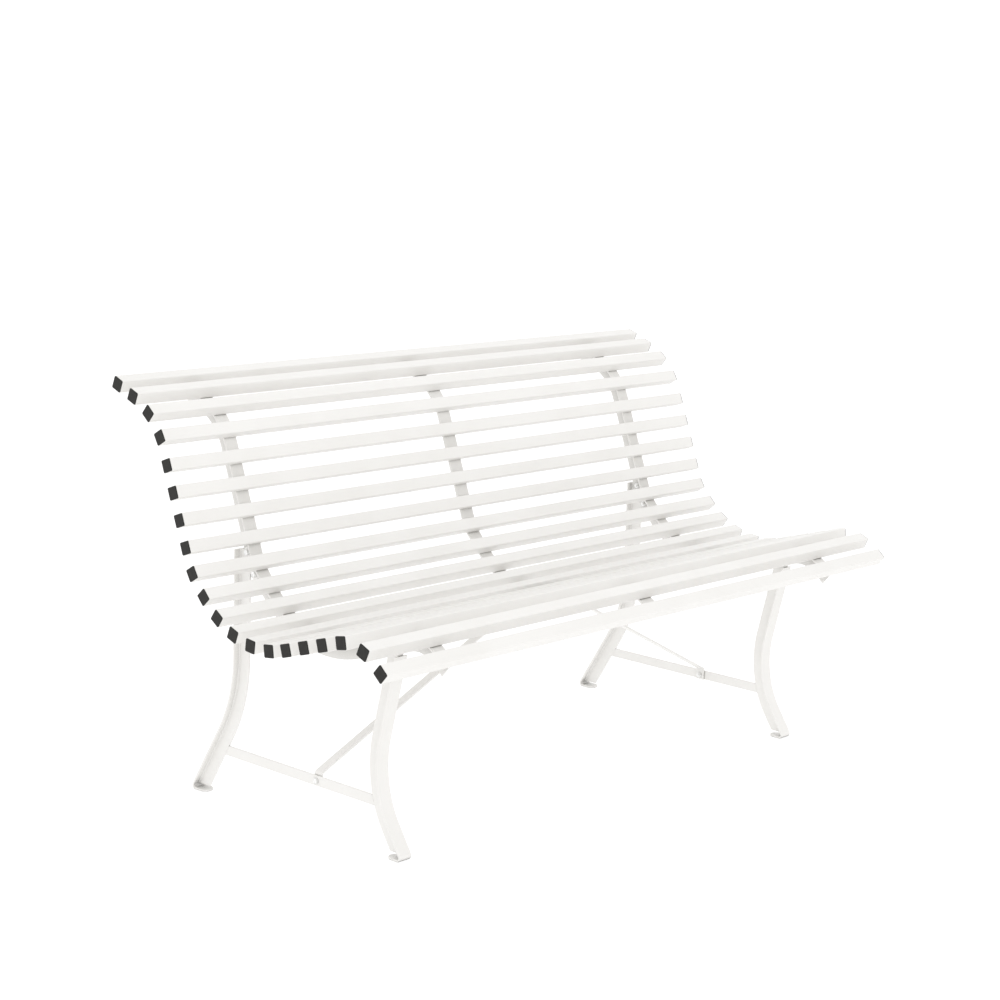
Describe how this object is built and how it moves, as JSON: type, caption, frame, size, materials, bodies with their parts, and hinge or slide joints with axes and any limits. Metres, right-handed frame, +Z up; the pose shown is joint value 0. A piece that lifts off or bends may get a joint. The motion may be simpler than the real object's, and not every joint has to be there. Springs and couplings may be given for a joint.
{
  "type": "garden bench",
  "caption": "Slatted metal garden bench: square tubes on bent ribs form a dipped seat and rolled back, on curved T-section legs with stretchers and diagonal braces.",
  "frame": {"origin": "centre of the bench's bounding box at ground level, under the foot pads", "axes": "+X along the bench's length, +Z up, a sitter faces -Y"},
  "size_m": [1.5, 0.7467, 0.8236],
  "materials": {
    "powder_coat": "satin off-white powder coat on steel",
    "end_plastic": "black moulded end caps",
    "zinc": "bright zinc-plated fasteners"
  },
  "bodies": {
    "root": {"slat_01": "powder_coat", "slat_02": "powder_coat", "slat_03": "powder_coat", "slat_04": "powder_coat", "slat_05": "powder_coat", "slat_06": "powder_coat", "slat_07": "powder_coat", "slat_08": "powder_coat", "slat_09": "powder_coat", "slat_10": "powder_coat", "slat_11": "powder_coat", "slat_12": "powder_coat", "slat_13": "powder_coat", "slat_14": "powder_coat", "slat_15": "powder_coat", "slat_16": "powder_coat", "slat_17": "powder_coat", "slat_18": "powder_coat", "slat_19": "powder_coat", "slat_20": "powder_coat", "end_cap_01": "end_plastic", "end_cap_02": "end_plastic", "end_cap_03": "end_plastic", "end_cap_04": "end_plastic", "end_cap_05": "end_plastic", "end_cap_06": "end_plastic", "end_cap_07": "end_plastic", "end_cap_08": "end_plastic", "end_cap_09": "end_plastic", "end_cap_10": "end_plastic", "end_cap_11": "end_plastic", "end_cap_12": "end_plastic", "end_cap_13": "end_plastic", "end_cap_14": "end_plastic", "end_cap_15": "end_plastic", "end_cap_16": "end_plastic", "end_cap_17": "end_plastic", "end_cap_18": "end_plastic", "end_cap_19": "end_plastic", "end_cap_20": "end_plastic", "rib_middle": "powder_coat", "rib_left": "powder_coat", "front_leg_left": "powder_coat", "rear_leg_left": "powder_coat", "stretcher_left": "powder_coat", "brace_left": "powder_coat", "rib_right": "powder_coat", "front_leg_right": "powder_coat", "rear_leg_right": "powder_coat", "stretcher_right": "powder_coat", "brace_right": "powder_coat", "bolt_back_upper_left": "zinc", "bolt_back_lower_left": "zinc", "bolt_seat_front_left": "zinc", "bolt_stretcher_left": "zinc", "bolt_back_upper_right": "zinc", "bolt_back_lower_right": "zinc", "bolt_seat_front_right": "zinc", "bolt_stretcher_right": "zinc"}
  },
  "joints": []
}
